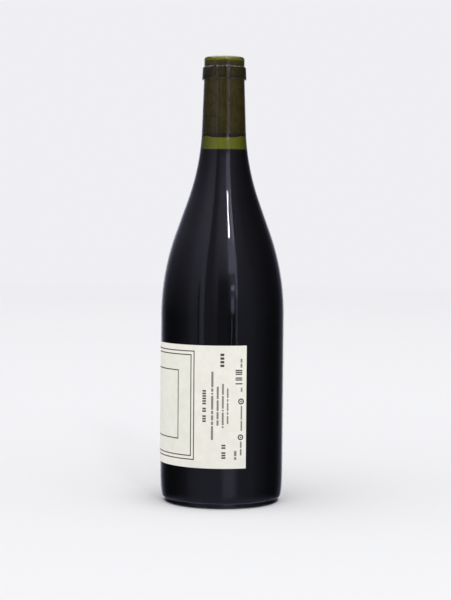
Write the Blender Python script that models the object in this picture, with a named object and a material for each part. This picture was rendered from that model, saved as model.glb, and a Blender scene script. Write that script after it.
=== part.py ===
"""A corked wine bottle with sloping shoulders, full of wine, with a label round its body.

Four solids: the green glass with its punt, the cork in the bore, the wine up to its level
and the label. Units are metres. The bottle stands on Z = 0 round the Z axis, and the middle
of the label's front panel faces -Y. A side panel carries the label on past +X.
"""

from math import atan, ceil, cos, pi, radians, sin, tan

import bmesh
import bpy
from mathutils import Matrix, Vector

# Outside of the glass
HEIGHT = 0.296
BODY_RADIUS = 0.0411
BODY_TOP = 0.1247
SHOULDER_ARC = 0.1616
SHOULDER_SLOPE = radians(19.75)
SHOULDER_STRAIGHT = 0.0217
NECK_ARC = 0.1569
NECK_SLOPE = radians(1.96)

# Foot: a ring narrower than the body, then the heel that swells to the full radius
FOOT_RADIUS = 0.0387
FOOT_HEIGHT = 0.0035
FOOT_EDGE = 0.0012
HEEL_STEP_RADIUS = 0.0397
HEEL_HEIGHT = 0.016

# Ring and lip at the mouth
RING_BOTTOM = 0.2807
RING_TOP = 0.2894
RING_BOTTOM_RADIUS = 0.0148
RING_TOP_RADIUS = 0.0145
RING_EDGE = 0.0005
LIP_BOTTOM = 0.2903
LIP_RADIUS = 0.01345
LIP_EDGE = 0.0016

# Inside of the glass
BODY_WALL = 0.00405
BORE_RADIUS = 0.00925
BORE_GAUGE_DEPTH = 0.045
BORE_GAUGE_RADIUS = 0.0100
BORE_EDGE = 0.0007
INNER_NECK_ARC = 0.130
INNER_HEEL_ARC = 0.008
FLOOR_THICKNESS = 0.006
PUNT_RADIUS = 0.030
PUNT_HEIGHT = 0.020

# Contents
WINE_LEVEL = 0.2337
CORK_TOP = 0.2938
CORK_LENGTH = 0.0507
CORK_EDGE = 0.0005
GAP = 0.0003

# Label, with its reach round the body to the left and right of the front panel's middle
LABEL_LEFT = 0.0526
LABEL_RIGHT = 0.0829
LABEL_HEIGHTS = (0.0271, 0.1070)
LABEL_THICKNESS = 0.00025

# Fineness of the solids
SIDES = 64
ARC_STEPS = 6
EDGE_STEPS = 2
SHARP_ANGLE = radians(35)
MERGE_DISTANCE = 0.000001


def clear_scene():
    for thing in list(bpy.data.objects):
        bpy.data.objects.remove(thing, do_unlink=True)


def make_material(name, colour, roughness, metallic=0.0, transmission=0.0):
    material = bpy.data.materials.new(name)
    material.use_nodes = True
    shader = material.node_tree.nodes["Principled BSDF"]
    shader.inputs["Base Color"].default_value = (*colour, 1)
    shader.inputs["Roughness"].default_value = roughness
    shader.inputs["Metallic"].default_value = metallic
    shader.inputs["Transmission Weight"].default_value = transmission
    material.diffuse_color = (*colour, 1)
    return material


def arc(centre, radii, start, end, steps):
    """Points of an arc in the (radius, height) plane, angles from the outward direction."""
    angles = [start + (end - start) * i / steps for i in range(steps + 1)]
    return [(centre[0] + radii[0] * cos(a), centre[1] + radii[1] * sin(a)) for a in angles]


def bell(base_radius, base_height, rise, steps):
    """A smooth dome, from its foot circle in to the axis."""
    spans = [1 - i / steps for i in range(steps + 1)]
    return [(base_radius * s, base_height + rise * (1 + cos(pi * s)) / 2) for s in spans]


def shoulder_arc(inset):
    """The arc from the body's side, or from its inner wall, up to the shoulder's straight slope."""
    radius = SHOULDER_ARC - inset
    centre = (BODY_RADIUS - SHOULDER_ARC, BODY_TOP)
    return arc(centre, (radius, radius), 0, SHOULDER_SLOPE, ARC_STEPS)


def neck_arc(start, radius, end_slope):
    """The hollow curve that turns the slope at start into a neck that leans in by end_slope."""
    centre = (start[0] + radius * cos(SHOULDER_SLOPE), start[1] + radius * sin(SHOULDER_SLOPE))
    return arc(centre, (radius, radius), pi + SHOULDER_SLOPE, pi + end_slope, ARC_STEPS)


def foot_outline():
    """Up the outside of the foot and the heel, to the body's side."""
    edge = arc((FOOT_RADIUS - FOOT_EDGE, FOOT_EDGE), (FOOT_EDGE, FOOT_EDGE), -pi / 2, 0, EDGE_STEPS)
    swell = (BODY_RADIUS - HEEL_STEP_RADIUS, HEEL_HEIGHT)
    heel = arc((HEEL_STEP_RADIUS, FOOT_HEIGHT + HEEL_HEIGHT), swell, -pi / 2, 0, EDGE_STEPS * 2)
    return edge + [(FOOT_RADIUS, FOOT_HEIGHT)] + heel


def finish_outline(neck_end):
    """Up the outside of the mouth, from the top of the neck curve to the rim's outer edge."""
    neck_radius = neck_end[0] - (RING_BOTTOM - neck_end[1]) * tan(NECK_SLOPE)
    return [
        (neck_radius, RING_BOTTOM),
        (RING_BOTTOM_RADIUS - RING_EDGE, RING_BOTTOM + RING_EDGE / 4),
        (RING_BOTTOM_RADIUS, RING_BOTTOM + RING_EDGE),
        (RING_TOP_RADIUS, RING_TOP - RING_EDGE),
        (RING_TOP_RADIUS - RING_EDGE / 2, RING_TOP),
        (LIP_RADIUS, LIP_BOTTOM),
        *arc((LIP_RADIUS - LIP_EDGE, HEIGHT - LIP_EDGE), (LIP_EDGE, LIP_EDGE), 0, pi / 2, EDGE_STEPS + 1),
    ]


def outer_outline():
    """The outside of the glass, from the foot's inner edge up to the rim."""
    shoulder = shoulder_arc(0)
    straight_end = (
        shoulder[-1][0] - SHOULDER_STRAIGHT * tan(SHOULDER_SLOPE),
        shoulder[-1][1] + SHOULDER_STRAIGHT,
    )
    neck = neck_arc(straight_end, NECK_ARC, NECK_SLOPE)
    return foot_outline() + shoulder + neck + finish_outline(neck[-1])


def bore_slope():
    return (BORE_GAUGE_RADIUS - BORE_RADIUS) / BORE_GAUGE_DEPTH


def inner_neck():
    """The curve that joins the shoulder's inner slope to the bore and is tangent to both."""
    foot = shoulder_arc(BODY_WALL)[-1]
    lean = tan(SHOULDER_SLOPE)
    mouth_lean = bore_slope()
    crossing = (foot[0] + lean * foot[1] - BORE_RADIUS - mouth_lean * HEIGHT) / (lean - mouth_lean)
    bore_angle = atan(mouth_lean)
    reach = INNER_NECK_ARC * tan((SHOULDER_SLOPE - bore_angle) / 2)
    start_height = crossing - reach * cos(SHOULDER_SLOPE)
    start = (foot[0] - lean * (start_height - foot[1]), start_height)
    return neck_arc(start, INNER_NECK_ARC, bore_angle)


def cavity_outline():
    """The inside of the glass, from the middle of its floor out and up to the bore's top edge."""
    inner_radius = BODY_RADIUS - BODY_WALL
    heel_centre = (inner_radius - INNER_HEEL_ARC, FLOOR_THICKNESS + INNER_HEEL_ARC)
    floor = bell(heel_centre[0], FLOOR_THICKNESS, PUNT_HEIGHT, ARC_STEPS)[::-1]
    heel = arc(heel_centre, (INNER_HEEL_ARC, INNER_HEEL_ARC), -pi / 2, 0, EDGE_STEPS * 2)
    mouth = [(BORE_RADIUS, HEIGHT - BORE_EDGE), (BORE_RADIUS + BORE_EDGE, HEIGHT)]
    return floor + heel[1:] + shoulder_arc(BODY_WALL) + inner_neck() + mouth


def glass_outline():
    """The whole section of the glass, from the floor's middle round to the punt's top."""
    punt = bell(PUNT_RADIUS, 0, PUNT_HEIGHT, ARC_STEPS)
    return cavity_outline() + outer_outline()[::-1] + punt


def radius_at(outline, height):
    """The radius of an outline that climbs, at a height."""
    for (r0, z0), (r1, z1) in zip(outline, outline[1:]):
        if z0 <= height <= z1 and z1 > z0:
            return r0 + (r1 - r0) * (height - z0) / (z1 - z0)
    raise ValueError(f"the outline doesn't reach a height of {height}")


def shrunk(outline, distance):
    """The outline moved inwards by a distance, square to its stretches."""
    points = [Vector(p) for p in outline]
    normals = [Vector((a.y - b.y, b.x - a.x)).normalized() for a, b in zip(points, points[1:])]
    moved = [points[0] + Vector((0, distance))]
    for point, before, after in zip(points[1:-1], normals, normals[1:]):
        mean = (before + after).normalized()
        moved.append(point + mean * distance / mean.dot(before))
    return [tuple(p) for p in moved]


def wine_outline():
    """The wine's section: its level surface, then down its side and along its floor."""
    wall = shrunk(cavity_outline(), GAP)
    below = [p for p in wall if p[1] < WINE_LEVEL - GAP]
    top_radius = radius_at(wall[ARC_STEPS:], WINE_LEVEL)
    return [(0, WINE_LEVEL), (top_radius, WINE_LEVEL)] + below[::-1]


def cork_outline():
    """The cork's section, from the middle of its top down its side to the middle of its foot."""
    bore = cavity_outline()[ARC_STEPS:]
    bottom = CORK_TOP - CORK_LENGTH
    gauge = HEIGHT - BORE_GAUGE_DEPTH
    top_radius = radius_at(bore, CORK_TOP) - GAP
    gauge_radius = radius_at(bore, gauge) - GAP
    bottom_radius = radius_at(bore, bottom) - GAP
    return [
        (0, CORK_TOP),
        (top_radius - CORK_EDGE, CORK_TOP),
        (top_radius, CORK_TOP - CORK_EDGE),
        (gauge_radius, gauge),
        (bottom_radius, bottom + CORK_EDGE),
        (bottom_radius - CORK_EDGE, bottom),
        (0, bottom),
    ]


def spin(work, geometry, angle, steps):
    bmesh.ops.spin(work, geom=geometry, cent=(0, 0, 0), axis=(0, 0, 1), angle=angle, steps=steps)


def add_solid(name, work, material, parent):
    """Closes the spun surface, turns its faces outwards and puts it in the scene."""
    bmesh.ops.remove_doubles(work, verts=work.verts, dist=MERGE_DISTANCE)
    bmesh.ops.recalc_face_normals(work, faces=work.faces)
    mesh = bpy.data.meshes.new(name)
    work.to_mesh(mesh)
    work.free()
    mesh.shade_smooth()
    mesh.set_sharp_from_angle(angle=SHARP_ANGLE)
    mesh.materials.append(material)
    solid = bpy.data.objects.new(name, mesh)
    bpy.context.collection.objects.link(solid)
    solid.parent = parent


def add_turned(name, outline, material, parent):
    """A solid turned round the Z axis from an outline that starts and ends on it."""
    work = bmesh.new()
    corners = [work.verts.new((radius, 0, height)) for radius, height in outline]
    edges = [work.edges.new(pair) for pair in zip(corners, corners[1:])]
    spin(work, corners + edges, 2 * pi, SIDES)
    add_solid(name, work, material, parent)


def add_wrapped(name, left, right, heights, thickness, material, parent):
    """A thin plate that follows the body's side, from left to right of -Y."""
    turn = (left + right) / BODY_RADIUS
    start = Matrix.Rotation(-pi / 2 - left / BODY_RADIUS, 3, "Z")
    inner = BODY_RADIUS + GAP
    outer = inner + thickness
    bottom, top = heights
    section = [(inner, bottom), (outer, bottom), (outer, top), (inner, top)]
    work = bmesh.new()
    face = work.faces.new([work.verts.new(start @ Vector((r, 0, z))) for r, z in section])
    spin(work, [*face.verts, *face.edges, face], turn, ceil(turn * SIDES / (2 * pi)))
    add_solid(name, work, material, parent)


def main():
    clear_scene()
    bottle = bpy.data.objects.new("wine_bottle", None)
    bpy.context.collection.objects.link(bottle)

    green_glass = make_material("green_glass", (0.10, 0.14, 0.02), 0.05, transmission=1.0)
    natural_cork = make_material("natural_cork", (0.48, 0.30, 0.16), 0.85)
    red_wine = make_material("red_wine", (0.035, 0.004, 0.010), 0.05)
    label_paper = make_material("label_paper", (0.82, 0.81, 0.74), 0.75)

    add_turned("glass", glass_outline(), green_glass, bottle)
    add_turned("cork", cork_outline(), natural_cork, bottle)
    add_turned("wine", wine_outline(), red_wine, bottle)
    add_wrapped("label", LABEL_LEFT, LABEL_RIGHT, LABEL_HEIGHTS, LABEL_THICKNESS, label_paper, bottle)


if __name__ == "__main__":
    main()
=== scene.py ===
"""Looks of a corked bottle of red wine, laid out as a Blender add-on and run as a script.

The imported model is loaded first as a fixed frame. Four pieces are then modelled with Blender's
own operators: the turned glass with its ribbed foot, the cork, the wine and the printed paper
label. The stage adds a pale floor, a soft studio and the camera. Units are metres, the bottle
stands on Z = 0 round the Z axis, and the middle of the label's front panel faces -Y.
"""

from math import atan, atan2, ceil, cos, floor, hypot, pi, radians, sin, tan

import bmesh
import bpy
from bpy.props import FloatProperty, FloatVectorProperty, PointerProperty
from bpy.types import Operator, Panel, PropertyGroup
from mathutils import Matrix, Vector


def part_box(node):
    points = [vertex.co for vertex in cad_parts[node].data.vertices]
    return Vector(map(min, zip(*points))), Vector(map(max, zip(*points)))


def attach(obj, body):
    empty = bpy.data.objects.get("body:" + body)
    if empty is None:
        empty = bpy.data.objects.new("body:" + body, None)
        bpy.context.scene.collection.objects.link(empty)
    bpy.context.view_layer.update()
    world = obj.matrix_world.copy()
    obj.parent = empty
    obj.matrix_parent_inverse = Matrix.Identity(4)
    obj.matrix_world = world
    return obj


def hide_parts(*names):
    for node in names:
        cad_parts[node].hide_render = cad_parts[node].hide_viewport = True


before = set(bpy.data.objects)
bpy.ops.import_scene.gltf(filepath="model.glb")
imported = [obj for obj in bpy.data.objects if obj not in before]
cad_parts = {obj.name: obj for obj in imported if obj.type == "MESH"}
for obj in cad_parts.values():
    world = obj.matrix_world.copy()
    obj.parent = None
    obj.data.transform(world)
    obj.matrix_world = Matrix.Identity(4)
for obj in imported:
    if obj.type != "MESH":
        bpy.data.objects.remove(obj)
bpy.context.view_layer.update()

bl_info = {
    "name": "Corked Wine Bottle",
    "version": (1, 0, 0),
    "blender": (4, 5, 0),
    "location": "3D View > Sidebar > Wine Bottle",
    "description": "Models a full wine bottle, its cork and its label, with a soft studio round it",
    "category": "Object",
}

GLASS_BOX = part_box("glass")
CORK_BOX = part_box("cork")
WINE_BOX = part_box("wine")
LABEL_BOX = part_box("label")

# How finely round stretches are drawn: sides of a full turn, steps of a long arc and of an edge
SIDES = 192
ARC_STEPS = 24
EDGE_STEPS = 6

# A new piece's first face, the distance within which corners merge, and the angle up to which
# faces are shaded as one
SEED_SIZE = 0.001
MERGE_DISTANCE = 0.000002
SMOOTH_ANGLE = radians(35)


def length(name, description, default):
    """A size in metres."""
    return FloatProperty(
        name=name, description=description, default=default, unit="LENGTH", precision=5
    )


def angle(name, description, default):
    """An angle, given in degrees."""
    return FloatProperty(
        name=name, description=description, default=radians(default), subtype="ANGLE"
    )


def colour(name, description, default):
    """A linear colour."""
    return FloatVectorProperty(
        name=name, description=description, default=default, subtype="COLOR", min=0, max=1
    )


def factor(name, description, default, top=1.0):
    """A plain number from zero up."""
    return FloatProperty(name=name, description=description, default=default, min=0, max=top)


class GlassSettings(PropertyGroup):
    """Sizes and finish of the glass."""

    height: length("Height", "From the floor to the rim", GLASS_BOX[1].z)
    body_radius: length("Body radius", "Outside of the body", GLASS_BOX[1].x)
    body_top: length("Body top", "Height at which the shoulder starts to lean in", 0.1247)
    shoulder_arc: length("Shoulder arc", "Radius of the curve that starts the shoulder", 0.1616)
    shoulder_slope: angle("Shoulder slope", "Lean of the shoulder's straight stretch", 19.75)
    shoulder_straight: length("Shoulder straight", "Height of the straight stretch", 0.0217)
    neck_arc: length("Neck arc", "Radius of the hollow curve up to the neck", 0.1569)
    neck_slope: angle("Neck slope", "Lean of the neck's side", 1.96)
    foot_radius: length("Foot radius", "Outside of the foot ring", 0.0387)
    foot_height: length("Foot height", "Height of the foot ring", 0.0035)
    foot_edge: length("Foot edge", "Rounding of the foot's lower edge", 0.0012)
    heel_radius: length("Heel radius", "Outside of the heel just above the foot ring", 0.0397)
    heel_height: length("Heel height", "Height over which the heel swells to the body", 0.016)
    rib_height: length("Rib height", "How far the foot's ribs stand out", 0.0003)
    rib_inside: length("Rib inside", "Radius at which the ribs end under the foot", 0.0345)
    rib_reach: factor("Rib reach", "Share of the foot's rounded edge that has ribs", 0.75)
    ring_bottom: length("Ring bottom", "Height of the ring's lower side", 0.2807)
    ring_top: length("Ring top", "Height of the ring's upper side", 0.2894)
    ring_radius: length("Ring radius", "Outside of the ring at its lower side", 0.0148)
    ring_top_radius: length("Ring top radius", "Outside of the ring at its upper side", 0.0145)
    ring_edge: length("Ring edge", "Rounding of the ring's edges", 0.0008)
    lip_bottom: length("Lip bottom", "Height at which the lip's side starts", 0.2903)
    lip_radius: length("Lip radius", "Outside of the lip", 0.01345)
    lip_edge: length("Lip edge", "Rounding of the lip's outer edge", 0.0016)
    wall: length("Wall", "Thickness of the body's wall", 0.00405)
    bore_radius: length("Bore radius", "Inside of the mouth at the rim", 0.00925)
    gauge_radius: length("Gauge radius", "Inside of the neck at the gauge depth", 0.0100)
    gauge_depth: length("Gauge depth", "Depth at which the neck is gauged", 0.045)
    bore_edge: length("Bore edge", "Rounding of the mouth's inner edge", 0.0007)
    inner_neck_arc: length("Inner neck arc", "Radius of the hollow curve inside the neck", 0.130)
    inner_heel_arc: length("Inner heel arc", "Rounding inside the heel", 0.008)
    floor_thickness: length("Floor thickness", "Thickness of the glass under the wine", 0.006)
    punt_radius: length("Punt radius", "Radius of the hollow under the bottle", 0.030)
    punt_height: length("Punt height", "Height of the hollow under the bottle", 0.020)
    clearness: colour("Clearness", "Colour of light that the glass lets by", (0.63, 0.642, 0.018))
    density: factor("Density", "Absorption of the glass for each metre", 570, 5000)
    index: factor("Index", "Index of refraction of the glass", 1.51, 3)
    skin: colour("Skin", "Tint of the glass's surface", (0.985, 1.0, 0.96))
    clear_skin: colour("Clear skin", "Tint of the surface where it is clearest", (1.0, 1.0, 0.99))


class CorkSettings(PropertyGroup):
    """Sizes and colours of the cork."""

    top: length("Top", "Height of the cork's top", CORK_BOX[1].z)
    bottom: length("Bottom", "Height of the cork's foot", CORK_BOX[0].z)
    squeeze: length("Squeeze", "How far the cork reaches into the glass", 0.0001)
    chamfer: length("Chamfer", "Rounding of the cork's edges", 0.0005)
    light: colour("Light cork", "Smooth cork between the pores", (0.55, 0.41, 0.30))
    dark: colour("Dark cork", "Pores and growth lines", (0.20, 0.12, 0.06))
    mottling: factor("Mottling", "How dark the mottle is", 0.4)
    growth: factor("Growth", "How dark the growth lines are", 0.3)
    pitting: factor("Pitting", "How dark the pores are", 0.7)
    # Painted light: the cork is drawn paler at its head, where light falls in at the mouth
    painted_crown_light: colour("Crown", "Pale cork at the mouth", (0.66, 0.51, 0.30))
    painted_crown_light_share: factor("Crown share", "How much of the crown's colour shows", 0.8)
    painted_crown_light_height: length("Crown height", "How far down from its top the cork is paler", 0.0035)
    stain: colour("Stain", "Where the wine has soaked in", (0.13, 0.05, 0.035))
    stain_height: length("Stain height", "How far up the wine has soaked", 0.0032)
    unevenness: length("Unevenness", "How unevenly the crown and the stain end", 0.0006)


class WineSettings(PropertyGroup):
    """Sizes and colours of the wine."""

    level: length("Level", "Height of the wine's surface", WINE_BOX[1].z)
    reach: length("Reach", "How far the wine reaches into the glass, so that no gap shows", 0.0001)
    meniscus: length("Meniscus", "How far the surface climbs at the glass", 0.0009)
    # Painted light: the wine is drawn red at the edge of its surface and lighter near its top in
    # the neck, where light shines through it
    painted_edge_light_depth: length("Rim depth", "How far down from its surface the wine looks thin", 0.0006)
    painted_neck_light_depth: length("Neck depth", "How far down from its surface the wine looks lighter", 0.035)
    deep: colour("Deep wine", "Wine in the body", (0.0020, 0.0012, 0.0016))
    cloudy: colour("Cloudy wine", "Faint clouds in the deep wine", (0.004, 0.002, 0.003))
    # Painted light: the colour of the wine near its top in the neck, where light shines through it
    neck: colour("Wine in the neck", "Wine where the glass is narrowest", (0.018, 0.003, 0.004))
    # Painted light: the red of the thin wine at the edge of its surface, where light shines through
    # it
    painted_edge_light: colour("Thin wine", "Wine at the edge of its surface", (0.060, 0.004, 0.010))


class LabelSettings(PropertyGroup):
    """Sizes and colours of the label."""

    left: length("Left", "Reach round the body to the left of the front panel's middle", 0.0526)
    right: length("Right", "Reach round the body to the right of the front panel's middle", 0.0829)
    bottom: length("Bottom", "Height of the label's lower edge", LABEL_BOX[0].z)
    top: length("Top", "Height of the label's upper edge", LABEL_BOX[1].z)
    clearance: length("Clearance", "Space between the glass and the paper", 0.00003)
    thickness: length("Thickness", "Thickness of the paper", 0.00014)
    column: length("Column", "Widest facet round the body", 0.0015)
    rule: length("Rule", "Width of the frame lines", 0.00073)
    paper: colour("Paper", "Colour of the paper", (0.888, 0.872, 0.772))
    panel: colour("Panel", "Tint printed inside the front frame", (0.860, 0.850, 0.742))
    ink: colour("Ink", "Colour of the printed rules", (0.085, 0.068, 0.055))
    soft_ink: colour("Soft ink", "Colour of the printed bars", (0.27, 0.25, 0.22))
    paper_unevenness: factor("Paper unevenness", "How much fibres and clouds show in paper", 0.4)
    ink_unevenness: factor("Ink unevenness", "How much fibres and clouds show in ink", 1.0)


class StageSettings(PropertyGroup):
    """The camera, the floor and the light."""

    distance: length("Distance", "From the bottle's axis to the camera", 1.0768)
    eye: length("Eye", "Height of the camera", 0.1874)
    azimuth: angle("Azimuth", "Where the camera stands round the bottle", 93)
    pan: angle("Pan", "How far the camera turns to the right of the bottle", 0.103)
    tilt: angle("Tilt", "How far the camera looks down", 2.81)
    roll: angle("Roll", "How far the camera leans", 0.455)
    lens: FloatProperty(name="Lens", description="Focal length in millimetres", default=96.6)
    floor_radius: length("Floor radius", "Size of the floor", 4.0)
    floor_clear: length("Floor clear", "Radius at which the floor starts to fade", 0.6)
    backdrop: colour("Backdrop", "What the camera sees behind", (0.865, 0.865, 0.895))
    fill: factor("Fill", "How much brighter the room lights matt surfaces than it looks", 1.27, 10)
    floor_colour: colour("Floor colour", "Pale floor", (0.825, 0.825, 0.822))
    grain: factor("Grain", "How much of the floor's grain shows", 0.25)
    key: factor("Key", "Brightness of the window", 38, 1000)


SETTINGS = {
    "bottle_glass": GlassSettings,
    "bottle_cork": CorkSettings,
    "bottle_wine": WineSettings,
    "bottle_label": LabelSettings,
    "bottle_stage": StageSettings,
}


# Most of a noise's values lie in this span
NOISE_SPAN = (0.3, 0.7)

# Brightness of the paper's fibres and of the floor's grain, as shares of the plain colour's
FIBRE_SHADE = 0.86
GRAIN_SHADE = 0.94


# Shader helpers


class Value:
    """A shader socket that takes part in Python expressions by adding Math nodes."""

    def __init__(self, graph, socket):
        self.graph = graph
        self.socket = socket

    def math(self, operation, *values):
        return self.graph.add("ShaderNodeMath", {"operation": operation}, dict(enumerate(values)))

    def __add__(self, other):
        return self.math("ADD", self, other)

    def __sub__(self, other):
        return self.math("SUBTRACT", self, other)

    def __rsub__(self, other):
        return self.math("SUBTRACT", other, self)

    def __mul__(self, other):
        return self.math("MULTIPLY", self, other)

    def __truediv__(self, other):
        return self.math("DIVIDE", self, other)


class Graph:
    """A node tree that is written as expressions."""

    def __init__(self, owner):
        owner.use_nodes = True
        self.tree = owner.node_tree
        self.tree.nodes.clear()

    def add(self, kind, settings=None, inputs=None, output=0):
        """Adds a node, its settings first and then its sockets' values or links.

        Returns one of its outputs.
        """
        node = self.tree.nodes.new(kind)
        for name, value in (settings or {}).items():
            if name == "stops":
                self.set_stops(node.color_ramp, value)
            else:
                setattr(node, name, value)
        for name, value in (inputs or {}).items():
            self.feed(self.find(node.inputs, name), value)
        return Value(self, self.find(node.outputs, output))

    def find(self, sockets, name):
        """A socket by its place, its identifier or its name."""
        if isinstance(name, int):
            return sockets[name]
        known = {socket.identifier: socket for socket in sockets}
        return known.get(name) or sockets[name]

    def feed(self, socket, value):
        if isinstance(value, Value):
            self.tree.links.new(value.socket, socket)
        elif socket.type == "RGBA" and len(value) == 3:
            socket.default_value = (*value, 1)
        else:
            socket.default_value = value

    def set_stops(self, ramp, stops):
        """Gives a ramp its stops, each a place from 0 to 1 and a brightness."""
        while len(ramp.elements) < len(stops):
            ramp.elements.new(1)
        for element, (place, brightness) in zip(ramp.elements, stops):
            element.position = place
            element.color = (brightness, brightness, brightness, 1)

    def mix(self, share, first, second, blend="MIX"):
        """Two colours mixed by a share of the second."""
        settings = {"data_type": "RGBA", "blend_type": blend}
        inputs = {"Factor_Float": share, "A_Color": first, "B_Color": second}
        return self.add("ShaderNodeMix", settings, inputs, "Result_Color")

    def ramp(self, value, start, end, low=0.0, high=1.0, smooth=True):
        """A value taken from start..end to low..high and held there."""
        settings = {"interpolation_type": "SMOOTHSTEP" if smooth else "LINEAR"}
        inputs = {
            "Value": value,
            "From Min": start,
            "From Max": end,
            "To Min": low,
            "To Max": high,
        }
        return self.add("ShaderNodeMapRange", settings, inputs)

    def place(self, scale=(1, 1, 1)):
        """Object coordinates, scaled along each axis."""
        point = self.add("ShaderNodeTexCoord", output="Object")
        return self.add("ShaderNodeMapping", inputs={"Vector": point, "Scale": scale})

    def height(self):
        """Height above the floor, in metres."""
        return self.add("ShaderNodeSeparateXYZ", inputs={"Vector": self.place()}, output="Z")

    def noise(self, scale, detail=2.0, stretch=(1, 1, 1), distortion=0.0):
        inputs = {
            "Vector": self.place(stretch),
            "Scale": scale,
            "Detail": detail,
            "Distortion": distortion,
        }
        return self.add("ShaderNodeTexNoise", inputs=inputs)

    def bump(self, height, strength, distance):
        inputs = {"Height": height, "Strength": strength, "Distance": distance}
        return self.add("ShaderNodeBump", inputs=inputs)

    def principled(self, inputs, volume=None):
        """Ends the tree in a Principled shader."""
        shader = self.add("ShaderNodeBsdfPrincipled", inputs=inputs)
        ends = {"Surface": shader}
        if volume:
            ends["Volume"] = volume
        self.add_output("ShaderNodeOutputMaterial", ends)

    def add_output(self, kind, ends):
        node = self.tree.nodes.new(kind)
        for name, value in ends.items():
            self.feed(node.inputs[name], value)


def shaded(tint, share):
    """A colour darkened to a share of its brightness."""
    return tuple(share * value for value in tint)


def green_glass(s):
    """Olive glass: clear and smooth, coloured in its depth, with faint drawn waves."""
    material = bpy.data.materials.new("green_glass")
    graph = Graph(material)
    waves = graph.noise(scale=55, stretch=(1, 1, 0.12))
    orange_peel = graph.noise(scale=420, detail=1.0)
    cloud = graph.noise(scale=30, detail=3.0)
    inputs = {
        "Base Color": graph.mix(cloud, tuple(s.skin), tuple(s.clear_skin)),
        "Roughness": graph.ramp(cloud, *NOISE_SPAN, low=0.012, high=0.045),
        "IOR": s.index,
        "Transmission Weight": 1.0,
        "Normal": graph.bump(waves + orange_peel * 0.04, strength=0.12, distance=0.00025),
    }
    depth = {"Color": tuple(s.clearness), "Density": s.density}
    graph.principled(inputs, volume=graph.add("ShaderNodeVolumeAbsorption", inputs=depth))
    return material


def natural_cork(s):
    """Punched cork: mottled brown with dark pores, painted light that makes it paler at its head,
    and stained at its foot.
    """
    material = bpy.data.materials.new("natural_cork")
    graph = Graph(material)
    light, dark, painted_crown_light, stain = (tuple(c) for c in (s.light, s.dark, s.painted_crown_light, s.stain))
    mottle = graph.noise(scale=260, detail=5.0, stretch=(1, 1, 0.55), distortion=0.6)
    layers = graph.noise(scale=120, detail=3.0, stretch=(1, 0.22, 1.6), distortion=0.8)
    streaks = graph.ramp(layers, 0.48, 0.66)
    cells = {"Vector": graph.place((1, 1, 0.45)), "Scale": 520, "Randomness": 1.0}
    pits = graph.ramp(graph.add("ShaderNodeTexVoronoi", inputs=cells), 0.16, 0.05)
    pores = pits * graph.ramp(graph.noise(scale=170), 0.45, 0.6)
    edge = graph.height() + (graph.noise(scale=300) - 0.5) * s.unevenness
    # Painted light: the head mask marks the top of the cork, which is drawn paler where light falls
    # in at the mouth
    head = graph.ramp(edge, s.top - s.painted_crown_light_height, s.top, smooth=False)
    foot = graph.ramp(edge, s.bottom + s.stain_height, s.bottom, smooth=False)
    tone = graph.mix(graph.ramp(mottle, 0.3, 0.75, high=s.mottling), light, dark)
    tone = graph.mix(head * s.painted_crown_light_share, tone, painted_crown_light)
    tone = graph.mix(streaks * s.growth, tone, dark)
    tone = graph.mix(pores * s.pitting, tone, dark)
    relief = mottle - pores * 1.5 - streaks * 0.6
    inputs = {
        "Base Color": graph.mix(foot, tone, stain),
        "Roughness": graph.ramp(mottle, 0.2, 0.8, low=0.72, high=0.95),
        "Specular IOR Level": 0.25,
        "Normal": graph.bump(relief, strength=0.6, distance=0.0004),
    }
    graph.principled(inputs)
    return material


def red_wine(s):
    """Wine so deep that it reads as black, with painted light: a red edge where its surface thins
    and lighter wine near its top in the neck.
    """
    material = bpy.data.materials.new("red_wine")
    graph = Graph(material)
    height = graph.height()
    # Painted light: masks for the red edge of the surface and for the lighter wine near the top of
    # the neck
    rim = graph.ramp(height, s.level - s.painted_edge_light_depth, s.level + s.meniscus)
    painted_neck_light_mask = graph.ramp(height, s.level - s.painted_neck_light_depth, s.level, smooth=False)
    cloud = graph.noise(scale=35, detail=3.0)
    tone = graph.mix(cloud * 0.5, tuple(s.deep), tuple(s.cloudy))
    # Painted light: the wine is drawn lighter near its top in the neck
    tone = graph.mix(painted_neck_light_mask, tone, tuple(s.neck))
    ripple = graph.noise(scale=90, detail=1.0)
    inputs = {
        "Base Color": graph.mix(rim, tone, tuple(s.painted_edge_light)),
        "Roughness": graph.ramp(cloud, *NOISE_SPAN, low=0.05, high=0.12),
        "Specular IOR Level": 0.02,
        "Normal": graph.bump(ripple, strength=0.03, distance=0.0005),
    }
    graph.principled(inputs)
    return material


def paper_finish(name, tint, unevenness):
    """Uncoated paper, bare or printed: fine fibres, faint clouds and a little tooth."""
    material = bpy.data.materials.new(name)
    graph = Graph(material)
    fibres = graph.noise(scale=2600, detail=3.0, stretch=(1, 1, 0.35), distortion=0.4)
    clouds = graph.noise(scale=140, detail=4.0)
    fine, broad = (graph.ramp(value, *NOISE_SPAN, high=unevenness) for value in (fibres, clouds))
    inputs = {
        "Base Color": graph.mix(fine + broad, tuple(tint), shaded(tint, FIBRE_SHADE)),
        "Roughness": graph.ramp(clouds, *NOISE_SPAN, low=0.62, high=0.78),
        "Specular IOR Level": 0.3,
        "Normal": graph.bump(fibres, strength=0.22, distance=0.00006),
    }
    graph.principled(inputs)
    return material


# Modelling helpers


def deselect():
    bpy.ops.object.select_all(action="DESELECT")


def edit(piece):
    """Opens a piece for editing with nothing in it selected."""
    deselect()
    bpy.context.view_layer.objects.active = piece
    piece.select_set(True)
    bpy.ops.object.mode_set(mode="EDIT")
    bpy.ops.mesh.select_mode(type="FACE")
    bpy.ops.mesh.select_all(action="DESELECT")


def close_edit():
    bpy.ops.object.mode_set(mode="OBJECT")


def select_faces(piece, wanted):
    """Selects the faces that pass a test, in edit mode, and says how many there are."""
    work = bmesh.from_edit_mesh(piece.data)
    count = 0
    for face in work.faces:
        chosen = wanted(face)
        face.select_set(chosen)
        count += chosen
    work.select_flush_mode()
    bmesh.update_edit_mesh(piece.data, loop_triangles=False, destructive=False)
    return count


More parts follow.
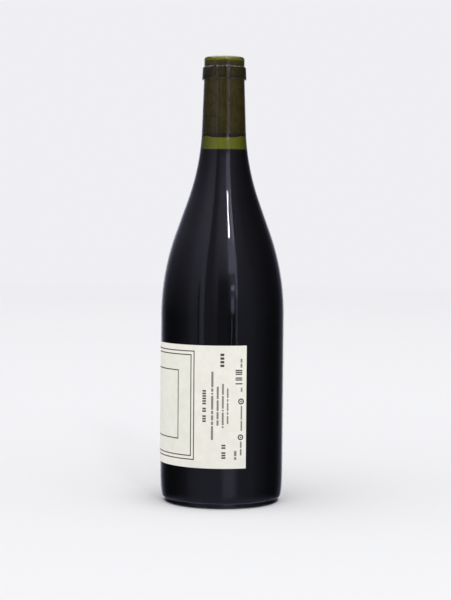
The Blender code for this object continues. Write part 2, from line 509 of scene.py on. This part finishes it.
def turn_on_lathe(name, outline):
    """A solid spun round Z from an outline that starts and ends on the axis."""
    deselect()
    bpy.ops.mesh.primitive_plane_add(size=SEED_SIZE, location=(0, 0, 0))
    piece = bpy.context.object
    piece.name = name
    piece.data.name = name
    bpy.ops.object.mode_set(mode="EDIT")
    bpy.ops.mesh.select_mode(type="VERT")
    bpy.ops.mesh.merge(type="CENTER")
    start = outline[0]
    bpy.ops.transform.translate(value=(start[0], 0, start[1]))
    for before, after in zip(outline, outline[1:]):
        step = (after[0] - before[0], 0, after[1] - before[1])
        bpy.ops.mesh.extrude_region_move(TRANSFORM_OT_translate={"value": step})
    bpy.ops.mesh.select_all(action="SELECT")
    bpy.ops.mesh.spin(steps=SIDES, angle=2 * pi, center=(0, 0, 0), axis=(0, 0, 1))
    bpy.ops.mesh.select_all(action="SELECT")
    bpy.ops.mesh.remove_doubles(threshold=MERGE_DISTANCE)
    bpy.ops.mesh.normals_make_consistent(inside=False)
    close_edit()
    return piece


def finish_piece(piece, materials, node):
    """Shades a piece, gives it its materials and puts it on the frame in the CAD node's place."""
    deselect()
    bpy.context.view_layer.objects.active = piece
    piece.select_set(True)
    bpy.ops.object.transform_apply(location=True, rotation=True, scale=True)
    bpy.ops.object.shade_smooth_by_angle(angle=SMOOTH_ANGLE)
    for material in materials:
        piece.data.materials.append(material)
    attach(piece, "root")
    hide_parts(node)


# Outlines of the turned pieces, as points of radius and height


def oval_arc(centre, radii, start, end, steps):
    """Points of an ellipse, with angles from the outward direction."""
    angles = [start + (end - start) * i / steps for i in range(steps + 1)]
    return [(centre[0] + radii[0] * cos(a), centre[1] + radii[1] * sin(a)) for a in angles]


def arc(centre, radius, start, end, steps=EDGE_STEPS):
    """Points of a circle, with angles from the outward direction."""
    return oval_arc(centre, (radius, radius), start, end, steps)


def bell(base_radius, base_height, rise):
    """A smooth dome, from its foot circle in to the axis."""
    spans = [1 - i / ARC_STEPS for i in range(ARC_STEPS + 1)]
    return [(base_radius * x, base_height + rise * (1 + cos(pi * x)) / 2) for x in spans]


def spokes(radius, height):
    """Points from the axis out towards a radius at one height, the last of them left out."""
    return [(radius * (i / EDGE_STEPS), height) for i in range(EDGE_STEPS)]


def shoulder_curve(s, inset):
    """The arc from the body's side, or from its inner wall, up to the shoulder's slope."""
    centre = (s.body_radius - s.shoulder_arc, s.body_top)
    return arc(centre, s.shoulder_arc - inset, 0, s.shoulder_slope, ARC_STEPS)


def neck_curve(s, start, radius, end_slope):
    """The hollow curve that turns the shoulder's slope at start into the neck's."""
    slope = s.shoulder_slope
    centre = (start[0] + radius * cos(slope), start[1] + radius * sin(slope))
    return arc(centre, radius, pi + slope, pi + end_slope, ARC_STEPS)


def foot_outline(s):
    """Up the outside of the foot and the heel, to the body's side."""
    base = s.rib_height
    edge = arc((s.foot_radius - s.foot_edge, base + s.foot_edge), s.foot_edge, -pi / 2, 0)
    swell = (s.body_radius - s.heel_radius, s.heel_height)
    heel_centre = (s.heel_radius, s.foot_height + s.heel_height)
    heel = oval_arc(heel_centre, swell, -pi / 2, 0, ARC_STEPS // 2)
    return [(s.rib_inside, base), *edge, (s.foot_radius, s.foot_height), *heel]


def mouth_outline(s, neck_end):
    """Up the outside of the ring and the lip, over the rim to the bore's edge."""
    neck_radius = neck_end[0] - (s.ring_bottom - neck_end[1]) * tan(s.neck_slope)
    ring_foot = (s.ring_radius - s.ring_edge, s.ring_bottom + s.ring_edge)
    ring_head = (s.ring_top_radius - s.ring_edge, s.ring_top - s.ring_edge)
    hollow = (ring_head[0] - s.lip_radius, s.lip_bottom - s.ring_top)
    lip_edge = (s.lip_radius - s.lip_edge, s.height - s.lip_edge)
    bore_edge = (s.bore_radius + s.bore_edge, s.height - s.bore_edge)
    return [
        (neck_radius, s.ring_bottom),
        *arc(ring_foot, s.ring_edge, -pi / 2, 0),
        *arc(ring_head, s.ring_edge, 0, pi / 2),
        *oval_arc((ring_head[0], s.lip_bottom), hollow, -pi / 2, -pi, EDGE_STEPS)[1:],
        *arc(lip_edge, s.lip_edge, 0, pi / 2, EDGE_STEPS * 2),
        *arc(bore_edge, s.bore_edge, pi / 2, pi),
    ]


def outer_outline(s):
    """The outside of the glass, from under the foot up and over to the bore."""
    shoulder = shoulder_curve(s, 0)
    straight_end = (
        shoulder[-1][0] - s.shoulder_straight * tan(s.shoulder_slope),
        shoulder[-1][1] + s.shoulder_straight,
    )
    neck = neck_curve(s, straight_end, s.neck_arc, s.neck_slope)
    return foot_outline(s) + shoulder + neck + mouth_outline(s, neck[-1])


def inner_neck(s):
    """The curve that joins the shoulder's inner slope to the bore and is tangent to both."""
    foot = shoulder_curve(s, s.wall)[-1]
    lean = tan(s.shoulder_slope)
    mouth_lean = (s.gauge_radius - s.bore_radius) / s.gauge_depth
    apart = foot[0] + lean * foot[1] - s.bore_radius - mouth_lean * s.height
    crossing = apart / (lean - mouth_lean)
    bore_angle = atan(mouth_lean)
    reach = s.inner_neck_arc * tan((s.shoulder_slope - bore_angle) / 2)
    start_height = crossing - reach * cos(s.shoulder_slope)
    start = (foot[0] - lean * (start_height - foot[1]), start_height)
    return neck_curve(s, start, s.inner_neck_arc, bore_angle)


def cavity_outline(s):
    """The inside of the glass, from the middle of its floor out and up to the bore's edge."""
    inner_radius = s.body_radius - s.wall
    heel_centre = (inner_radius - s.inner_heel_arc, s.floor_thickness + s.inner_heel_arc)
    bed = bell(heel_centre[0], s.floor_thickness, s.punt_height)[::-1]
    heel = arc(heel_centre, s.inner_heel_arc, -pi / 2, 0, ARC_STEPS // 2)
    return bed + heel[1:] + shoulder_curve(s, s.wall) + inner_neck(s)


def glass_outline(s):
    """The whole section of the glass, from the floor's middle round to the punt's top."""
    punt = bell(s.punt_radius, s.rib_height, s.punt_height - s.rib_height)
    return cavity_outline(s) + outer_outline(s)[::-1] + punt


def radius_at(outline, height):
    """The radius of an outline that climbs, at a height."""
    for (r0, z0), (r1, z1) in zip(outline, outline[1:]):
        if z0 <= height <= z1 and z1 > z0:
            return r0 + (r1 - r0) * (height - z0) / (z1 - z0)
    raise ValueError(f"the outline doesn't reach a height of {height}")


def swollen(outline, distance):
    """The outline moved outwards by a distance, square to its stretches, but for its last point."""
    points = [Vector(p) for p in outline]
    normals = [Vector((b.y - a.y, a.x - b.x)).normalized() for a, b in zip(points, points[1:])]
    moved = [points[0] - Vector((0, distance))]
    for point, before, after in zip(points[1:-1], normals, normals[1:]):
        mean = (before + after).normalized()
        moved.append(point + mean * distance / mean.dot(before))
    return [tuple(p) for p in moved]


def bore_outline(s):
    """The inside of the glass from the edge of its bed up to the rim."""
    return [*cavity_outline(s)[ARC_STEPS:], (s.bore_radius, s.height)]


# Operators, one for each piece


class BOTTLE_OT_glass(Operator):
    """Turn the glass and press the ribs into its foot"""

    bl_idname = "bottle.glass"
    bl_label = "Glass"
    bl_options = {"REGISTER", "UNDO"}

    def execute(self, context):
        s = context.scene.bottle_glass
        piece = turn_on_lathe("bottle_glass", glass_outline(s))
        self.add_ribs(piece, s)
        finish_piece(piece, [green_glass(s)], "glass")
        return {"FINISHED"}

    def add_ribs(self, piece, s):
        """Every other face round the foot's bearing edge stands out as a rib."""
        turn = 2 * pi / SIDES
        top = s.rib_height + s.foot_edge * s.rib_reach

        def is_rib(face):
            centre = face.calc_center_median()
            outside = hypot(centre.x, centre.y) > s.rib_inside
            segment = floor(atan2(centre.y, centre.x) / turn)
            return outside and centre.z < top and segment % 2 == 0

        edit(piece)
        if not select_faces(piece, is_rib):
            raise RuntimeError("the foot has no faces for its ribs")
        bpy.ops.mesh.extrude_region_shrink_fatten(
            TRANSFORM_OT_shrink_fatten={"value": s.rib_height}
        )
        close_edit()


class BOTTLE_OT_cork(Operator):
    """Turn the cork to fill the bore"""

    bl_idname = "bottle.cork"
    bl_label = "Cork"
    bl_options = {"REGISTER", "UNDO"}

    def execute(self, context):
        s = context.scene.bottle_cork
        glass = context.scene.bottle_glass
        piece = turn_on_lathe("cork_plug", self.outline(s, glass))
        finish_piece(piece, [natural_cork(s)], "cork")
        return {"FINISHED"}

    def outline(self, s, glass):
        """From the middle of the cork's foot out, up its side and in to the middle of its top."""
        bore = bore_outline(glass)
        side_steps = ARC_STEPS * 2
        rise = (s.top - s.bottom - 2 * s.chamfer) / side_steps
        heights = [s.bottom + s.chamfer + rise * i for i in range(side_steps + 1)]
        side = [(radius_at(bore, z) + s.squeeze, z) for z in heights]
        foot = arc((side[0][0] - s.chamfer, side[0][1]), s.chamfer, -pi / 2, 0)[:-1]
        head = arc((side[-1][0] - s.chamfer, side[-1][1]), s.chamfer, 0, pi / 2)[1:]
        under = spokes(foot[0][0], s.bottom)
        over = spokes(head[-1][0], s.top)[::-1]
        return under + foot + side + head + over


class BOTTLE_OT_wine(Operator):
    """Turn the wine that fills the glass up to its level"""

    bl_idname = "bottle.wine"
    bl_label = "Wine"
    bl_options = {"REGISTER", "UNDO"}

    def execute(self, context):
        s = context.scene.bottle_wine
        glass = context.scene.bottle_glass
        piece = turn_on_lathe("wine_fill", self.outline(s, glass))
        finish_piece(piece, [red_wine(s)], "wine")
        return {"FINISHED"}

    def outline(self, s, glass):
        """From the middle of the wine's bed out and up its side, then in over its surface."""
        wall = swollen(cavity_outline(glass), s.reach)
        rim = s.level + s.meniscus
        below = [p for p in wall if p[1] < s.level - s.meniscus]
        edge = radius_at(wall[ARC_STEPS:], rim)
        # The surface climbs over a width of twice its rise
        width = s.meniscus * 2
        climb = oval_arc((edge - width, rim), (width, s.meniscus), 0, -pi / 2, EDGE_STEPS * 2)
        surface = spokes(climb[-1][0], s.level)[::-1]
        return below + climb + surface


# The label's materials, in their order on the piece
PAPER, PANEL, INK, SOFT_INK = range(4)

# A face of the sheet's printed side has at least this cosine with the way straight out
PRINTED_SIDE = 0.5

# Print on the label. Places run from the middle of the front panel towards the right, and from
# the floor up, in metres. A row of bars is left, right, bottom, top, then its bars' lengths. A row
# of strokes ends in how many strokes stand in each of its groups.
FRAME_RIGHT = 0.0483
FRAME_HEIGHTS = (0.0321, 0.1034)
SIDE_INSET = 0.0022
END_INSET = 0.0024
INNER_RIGHT = 0.0357
INNER_HEIGHTS = (0.0450, 0.0905)
BAR_GAP = 0.0007
STROKE_SHARE = 0.68
STROKE_ROWS = (
    (0.0540, 0.0564, 0.0573, 0.0781, (3, 2, 6)),
    (0.0755, 0.0800, 0.0819, 0.0914, (1, 2, 3)),
    (0.0656, 0.0681, 0.0932, 0.1019, (4,)),
    (0.0667, 0.0693, 0.0336, 0.0428, (3, 2)),
)
SOFT_ROWS = (
    (0.0598, 0.0612, 0.0458, 0.0902, (8, 2, 3, 2, 8, 1, 2, 9)),
    (0.0634, 0.0647, 0.0552, 0.0805, (3, 4, 6, 7)),
    (0.0668, 0.0680, 0.0536, 0.0823, (1, 7, 1, 7, 6)),
    (0.0700, 0.0710, 0.0563, 0.0794, (6, 2, 6, 2, 7)),
    (0.0788, 0.0800, 0.0928, 0.0986, (1, 1)),
    (0.0791, 0.0801, 0.0770, 0.0798, (1,)),
    (0.0791, 0.0801, 0.0516, 0.0679, (3, 4)),
    (0.0788, 0.0799, 0.0357, 0.0447, (2, 2)),
    (0.0749, 0.0765, 0.0329, 0.0387, (1, 2)),
)
# Discs: place to the right, height and radius, with a ring of bare paper inside each
DISCS = ((0.0793, 0.0708, 0.0020), (0.0791, 0.0475, 0.0019))
DISC_SIDES = 24
RING_SHARE = 0.56


class BOTTLE_OT_label(Operator):
    """Cut the print into a flat sheet, then wrap the sheet round the body"""

    bl_idname = "bottle.label"
    bl_label = "Label"
    bl_options = {"REGISTER", "UNDO"}

    def execute(self, context):
        s = context.scene.bottle_label
        body_radius = context.scene.bottle_glass.body_radius
        piece = self.flat_sheet(s)
        edit(piece)
        self.print_frames(piece, s)
        self.print_rows(piece)
        self.cut_columns(piece, s)
        close_edit()
        self.wrap(piece, s, body_radius)
        materials = [
            paper_finish("label_paper", s.paper, s.paper_unevenness),
            paper_finish("label_panel", s.panel, s.paper_unevenness),
            paper_finish("label_ink", s.ink, s.ink_unevenness),
            paper_finish("label_soft_ink", s.soft_ink, s.ink_unevenness),
        ]
        finish_piece(piece, materials, "label")
        return {"FINISHED"}

    def flat_sheet(self, s):
        """An upright sheet in the XZ plane that faces -Y."""
        deselect()
        middle = ((s.right - s.left) / 2, 0, (s.top + s.bottom) / 2)
        bpy.ops.mesh.primitive_plane_add(size=1, location=middle, rotation=(pi / 2, 0, 0))
        piece = bpy.context.object
        piece.name = "label_sheet"
        piece.data.name = "label_sheet"
        piece.scale = (s.left + s.right, s.top - s.bottom, 1)
        bpy.ops.object.transform_apply(location=True, rotation=True, scale=True)
        return piece

    def fill(self, piece, corners, material):
        """Cuts a convex mark out of the sheet and gives it a material.

        Corners run anticlockwise as seen from the front, as points along the sheet and up it.
        """
        lows = [min(c[i] for c in corners) for i in (0, 1)]
        highs = [max(c[i] for c in corners) for i in (0, 1)]
        edges = []

        def inside(face):
            centre = face.calc_center_median()
            if any((centre.x - x) * nx + (centre.z - z) * nz < 0 for x, z, nx, nz in edges):
                return False
            xs = [v.co.x for v in face.verts]
            zs = [v.co.z for v in face.verts]
            beside = max(xs) <= lows[0] or min(xs) >= highs[0]
            above_or_below = max(zs) <= lows[1] or min(zs) >= highs[1]
            return not (beside or above_or_below)

        for (x0, z0), (x1, z1) in zip(corners, [*corners[1:], corners[0]]):
            if not select_faces(piece, inside):
                raise RuntimeError("a printed mark lies off the label")
            inward = Vector((z0 - z1, 0, x1 - x0)).normalized()
            bpy.ops.mesh.bisect(plane_co=(x0, 0, z0), plane_no=inward, threshold=MERGE_DISTANCE)
            edges.append((x0, z0, inward.x, inward.z))
        select_faces(piece, inside)
        work = bmesh.from_edit_mesh(piece.data)
        for face in work.faces:
            if face.select:
                face.material_index = material

    def fill_box(self, piece, left, right, bottom, top, material):
        self.fill(piece, [(left, bottom), (right, bottom), (right, top), (left, top)], material)

    def fill_disc(self, piece, centre, radius, material):
        turns = [2 * pi * i / DISC_SIDES for i in range(DISC_SIDES)]
        corners = [(centre[0] + radius * cos(a), centre[1] + radius * sin(a)) for a in turns]
        self.fill(piece, corners, material)

    def print_frames(self, piece, s):
        """Three plain frames, one in the other, with the panel's tint inside the second."""
        bottom, top = FRAME_HEIGHTS
        frames = (
            (FRAME_RIGHT, bottom, top, PAPER),
            (FRAME_RIGHT - SIDE_INSET, bottom + END_INSET, top - END_INSET, PANEL),
            (INNER_RIGHT, *INNER_HEIGHTS, PANEL),
        )
        for side, low, high, filling in frames:
            self.fill_box(piece, -side, side, low, high, INK)
            inner = side - s.rule
            self.fill_box(piece, -inner, inner, low + s.rule, high - s.rule, filling)

    def print_rows(self, piece):
        """Rows of bars and strokes stand in for the print, with two discs beside them."""
        for left, right, bottom, top, bars in SOFT_ROWS:
            unit = (top - bottom - BAR_GAP * (len(bars) - 1)) / sum(bars)
            start = bottom
            for share in bars:
                self.fill_box(piece, left, right, start, start + unit * share, SOFT_INK)
                start += unit * share + BAR_GAP
        for left, right, bottom, top, groups in STROKE_ROWS:
            gaps = len(groups) - 1
            unit = (top - bottom) / (sum(groups) - 1 + gaps + STROKE_SHARE)
            start = bottom
            for strokes in groups:
                for i in range(strokes):
                    self.fill_box(piece, left, right, start, start + unit * STROKE_SHARE, INK)
                    start += unit
                start += unit
        for x, z, radius in DISCS:
            self.fill_disc(piece, (x, z), radius, INK)
            self.fill_disc(piece, (x, z), radius * RING_SHARE, PAPER)
            self.fill_disc(piece, (x, z), radius * RING_SHARE / 2, INK)

    def cut_columns(self, piece, s):
        """Upright cuts that let the sheet bend smoothly."""
        columns = ceil((s.left + s.right) / s.column)
        for i in range(1, columns):
            place = -s.left + (s.left + s.right) * i / columns
            bpy.ops.mesh.select_all(action="SELECT")
            bpy.ops.mesh.bisect(
                plane_co=(place, 0, 0), plane_no=(1, 0, 0), threshold=MERGE_DISTANCE
            )

    def wrap(self, piece, s, body_radius):
        """Bends the sheet to the body's radius and gives it the paper's thickness."""
        radius = body_radius + s.clearance + s.thickness
        bend = piece.modifiers.new("wrap", "SIMPLE_DEFORM")
        bend.deform_method = "BEND"
        bend.deform_axis = "Z"
        bend.angle = (s.left + s.right) / body_radius
        bpy.ops.object.modifier_apply(modifier="wrap")
        stretch = radius / body_radius
        piece.data.transform(Matrix.Translation((0, -body_radius, 0)))
        piece.data.transform(Matrix.Diagonal((stretch, stretch, 1, 1)))
        solid = piece.modifiers.new("paper", "SOLIDIFY")
        solid.thickness = s.thickness
        solid.offset = -1
        bpy.ops.object.modifier_apply(modifier="paper")
        for face in piece.data.polygons:
            outwards = Vector((face.center.x, face.center.y, 0)).dot(face.normal) / radius
            if outwards < PRINTED_SIDE:
                face.material_index = PAPER


# Stage: what the glass reflects. Bearings run from the camera to the right and heights up from
# level, both in degrees. Each ring is bearings with the room's brightness there, and between the
# two rings' heights the room blends from the level one to the high one.
RING_HEIGHTS = (-3, 36)
LEVEL_RING = (
    (-180, 0.90), (-163, 0.80), (-148, 0.20), (-131, 0.048), (-123, 0.036), (-110, 0.040),
    (-97, 0.056), (-90, 0.070), (-80, 0.100), (-69, 0.140), (-62, 0.23), (-44, 0.30), (-41, 0.44),
    (-35.5, 0.50), (-33.5, 0.19), (-14, 0.20), (-11.5, 0.26), (-9.5, 0.16), (-7, 0.09),
    (22, 0.10), (25, 0.24), (32, 0.25), (58, 0.225), (68, 0.162), (80, 0.118), (92, 0.074),
    (103, 0.049), (116, 0.038), (128, 0.038), (150, 0.15), (165, 0.80), (180, 0.90),
)
HIGH_RING = (
    (-180, 0.90), (-160, 0.90), (-140, 0.40), (-95, 0.33), (-77, 0.41), (-60, 0.58),
    (-35.5, 0.69), (-33.5, 0.24), (-23, 0.24), (-12, 0.50), (5, 0.66), (12, 0.80), (29, 0.80),
    (31, 0.42), (60, 0.205), (100, 0.095), (135, 0.06), (150, 0.22), (165, 0.85), (180, 0.90),
)

# Patches: the bearings and the heights where each starts, is full, still is full and ends, then
# its brightness. The ceiling, the floor and the window's surroundings are among them.
ALL_ROUND = (-182, -181, 181, 182)
PATCHES = (
    (ALL_ROUND, (42, 55, 90, 91), 2.5),
    ((-182, -181, -80, -62), (34, 44, 90, 91), 3.0),
    ((62, 80, 181, 182), (34, 44, 90, 91), 2.2),
    ((-10, -6, 8, 14), (-91, -90, 11, 22), 0.14),
    ((-48, -42, 24, 36), (-91, -90, -9, -6), 0.31),
    ((-4, 9, 18, 34), (-91, -90, -9, -6), 0.62),
    (ALL_ROUND, (-91, -90, -28, -15), 0.36),
    (ALL_ROUND, (-91, -90, -50, -35), 0.75),
    ((-47.8, -46, -44.8, -43), (-7.5, -6, 10, 15), 0.11),
    ((14.5, 16.8, 21, 23), (-2.5, 1, 7, 9), 1.15),
    ((14.5, 17, 23, 25), (6, 7.5, 18, 19), 0.62),
    ((15, 16.8, 22, 24), (9.5, 10.6, 12, 13), 2.20),
    ((16, 17, 17.8, 18.8), (-8, -6, -3, -2), 0.65),
    ((24.4, 25.6, 27.2, 28.8), (-8, -6, 42, 60), 0.65),
    ((24.4, 25.6, 27.6, 29), (5, 8, 18, 20), 1.40),
    ((8, 15, 28.2, 29.8), (17, 20, 42, 60), 1.40),
    ((19, 25, 28.2, 29.8), (31, 36, 42, 60), 2.20),
)

# Tints of the reflected room: in front, between the bearings given in the same way as a patch's,
# one at each ring's height, and one behind
FRONT = (-165, -145, 145, 165)
LOW_TINT = (0.94, 1.0, 1.38)
HIGH_TINT = (1.02, 1.0, 1.34)
BACK_TINT = (1.02, 1.0, 1.09)

# The window's edges, its distance in metres from the axis at the camera's height, and the watts
# that give a square metre of it a brightness of one
WINDOW_BEARINGS = (13.9, 17.1)
WINDOW_HEIGHTS = (35.5, 42.4)
WINDOW_DISTANCE = 1.6
WATTS_FOR_BRIGHTNESS = pi


def turn_share(bearing):
    """A bearing in degrees as a share of a turn, with the camera's at a half."""
    return bearing / 360 + 0.5


def heading(bearing, height=0.0):
    """The direction away from the axis at a bearing round it and a height above level."""
    return Vector((sin(bearing) * cos(height), -cos(bearing) * cos(height), sin(height)))


class BOTTLE_OT_stage(Operator):
    """Set the pale floor, the soft room, the window and the camera"""

    bl_idname = "bottle.stage"
    bl_label = "Stage"
    bl_options = {"REGISTER", "UNDO"}

    def execute(self, context):
        s = context.scene.bottle_stage
        self.add_floor(s)
        self.add_room(context.scene, s)
        self.add_window(s)
        self.add_camera(context.scene, s)
        context.scene.view_settings.view_transform = "Standard"
        return {"FINISHED"}

    def add_floor(self, s):
        """A wide pale disc that fades into the room."""
        deselect()
        bpy.ops.mesh.primitive_circle_add(
            vertices=SIDES, radius=s.floor_radius, fill_type="NGON", location=(0, 0, 0)
        )
        floor_piece = bpy.context.object
        floor_piece.name = "floor"
        floor_piece.visible_glossy = False
        material = bpy.data.materials.new("pale_floor")
        graph = Graph(material)
        grain = graph.noise(scale=90, detail=3.0) * s.grain
        near = graph.mix(grain, tuple(s.floor_colour), shaded(s.floor_colour, GRAIN_SHADE))
        surface = graph.add("ShaderNodeBsdfDiffuse", inputs={"Color": near, "Roughness": 0.5})
        clear = graph.add("ShaderNodeBsdfTransparent")
        point = graph.add("ShaderNodeTexCoord", output="Object")
        distance = graph.add("ShaderNodeVectorMath", {"operation": "LENGTH"}, {0: point}, "Value")
        fade = graph.ramp(distance, s.floor_clear, s.floor_radius)
        ground = graph.add("ShaderNodeMixShader", inputs={"Fac": fade, 1: surface, 2: clear})
        graph.add_output("ShaderNodeOutputMaterial", {"Surface": ground})
        floor_piece.data.materials.append(material)

    def add_room(self, scene, s):
        """Pale all round, but dimmer in front where gloss reflects it."""
        world = bpy.data.worlds.new("soft_room")
        scene.world = world
        graph = Graph(world)
        towards = graph.add("ShaderNodeTexCoord", output="Generated")
        ahead = self.along(graph, towards, heading(s.azimuth))
        right = self.along(graph, towards, heading(s.azimuth + pi / 2))
        up = graph.add("ShaderNodeSeparateXYZ", inputs={"Vector": towards}, output="Z")
        bearing = right.math("ARCTAN2", right, ahead) / (2 * pi) + 0.5
        height = up.math("ARCSINE", up)
        rise = graph.ramp(height, *(radians(a) for a in RING_HEIGHTS), smooth=False)
        level, high = (self.ring(graph, bearing, stops) for stops in (LEVEL_RING, HIGH_RING))
        room = graph.mix(rise, level, high)
        for bearings, heights, brightness in PATCHES:
            across = self.band(graph, bearing, [turn_share(a) for a in bearings])
            upright = self.band(graph, height, [radians(a) for a in heights])
            room = graph.mix(across * upright, room, (brightness,) * 3)
        in_front = self.band(graph, bearing, [turn_share(a) for a in FRONT])
        front_tint = graph.mix(rise, LOW_TINT, HIGH_TINT)
        tinted = graph.mix(1.0, room, graph.mix(in_front, BACK_TINT, front_tint), "MULTIPLY")
        mirrored = graph.add("ShaderNodeLightPath", output="Is Glossy Ray")
        through = graph.add("ShaderNodeLightPath", output="Is Transmission Ray")
        seen = graph.mix(mirrored * (1 - through), tuple(s.backdrop), tinted)
        matt = graph.add("ShaderNodeLightPath", output="Is Diffuse Ray")
        strength = matt * (s.fill - 1) + 1
        background = graph.add("ShaderNodeBackground", inputs={"Color": seen, "Strength": strength})
        graph.add_output("ShaderNodeOutputWorld", {"Surface": background})

    def along(self, graph, vector, direction):
        """How far a vector reaches along a direction."""
        settings = {"operation": "DOT_PRODUCT"}
        return graph.add("ShaderNodeVectorMath", settings, {0: vector, 1: direction}, "Value")

    def ring(self, graph, bearing, stops):
        """The brightness all round at one height."""
        spots = [(turn_share(place), brightness) for place, brightness in stops]
        return graph.add("ShaderNodeValToRGB", {"stops": spots}, {"Fac": bearing})

    def band(self, graph, value, spots):
        """One between the middle two of four spots, fading to zero at the outer two."""
        start, full, still_full, end = spots
        return graph.ramp(value, start, full) * graph.ramp(value, end, still_full)

    def add_window(self, s):
        """A tall window up to the right of the camera, for the sharp highlight."""
        target = Vector((0, 0, s.eye))
        bearing = s.azimuth + radians(sum(WINDOW_BEARINGS) / 2)
        height = radians(sum(WINDOW_HEIGHTS) / 2)
        away = heading(bearing, height)
        span = radians(WINDOW_BEARINGS[1] - WINDOW_BEARINGS[0])
        light = bpy.data.lights.new("window", "AREA")
        light.shape = "RECTANGLE"
        light.size = WINDOW_DISTANCE * cos(height) * span
        light.size_y = WINDOW_DISTANCE * radians(WINDOW_HEIGHTS[1] - WINDOW_HEIGHTS[0])
        light.energy = s.key * light.size * light.size_y * WATTS_FOR_BRIGHTNESS
        window = bpy.data.objects.new("window", light)
        window.location = target + away * WINDOW_DISTANCE
        window.rotation_euler = away.to_track_quat("Z", "Y").to_euler()
        bpy.context.collection.objects.link(window)

    def add_camera(self, scene, s):
        """The photograph's camera, which looks slightly down and leans a little."""
        lens = bpy.data.cameras.new("camera")
        lens.lens = s.lens
        camera = bpy.data.objects.new("camera", lens)
        bpy.context.collection.objects.link(camera)
        turn = Matrix.Rotation(s.azimuth - s.pan, 4, "Z")
        look = Matrix.Rotation(pi / 2 - s.tilt, 4, "X")
        lean = Matrix.Rotation(s.roll, 4, "Z")
        place = heading(s.azimuth) * s.distance + Vector((0, 0, s.eye))
        camera.matrix_world = Matrix.Translation(place) @ turn @ look @ lean
        scene.camera = camera


OPERATORS = (BOTTLE_OT_glass, BOTTLE_OT_cork, BOTTLE_OT_wine, BOTTLE_OT_label, BOTTLE_OT_stage)


class BOTTLE_PT_pieces(Panel):
    """Lists the bottle's pieces and their sizes"""

    bl_label = "Wine Bottle"
    bl_space_type = "VIEW_3D"
    bl_region_type = "UI"
    bl_category = "Wine Bottle"

    def draw(self, context):
        for operator, group in zip(OPERATORS, SETTINGS):
            box = self.layout.box()
            box.operator(operator.bl_idname)
            settings = getattr(context.scene, group)
            for name in settings.bl_rna.properties.keys():
                if name not in {"rna_type", "name"}:
                    box.prop(settings, name)


CLASSES = (*SETTINGS.values(), *OPERATORS, BOTTLE_PT_pieces)


def register():
    for item in CLASSES:
        bpy.utils.register_class(item)
    for name, group in SETTINGS.items():
        setattr(bpy.types.Scene, name, PointerProperty(type=group))


def unregister():
    for name in SETTINGS:
        delattr(bpy.types.Scene, name)
    for item in reversed(CLASSES):
        bpy.utils.unregister_class(item)


def main():
    """Makes the stage and every piece in order."""
    register()
    bpy.ops.bottle.stage()
    bpy.ops.bottle.glass()
    bpy.ops.bottle.cork()
    bpy.ops.bottle.wine()
    bpy.ops.bottle.label()


if __name__ == "__main__":
    main()
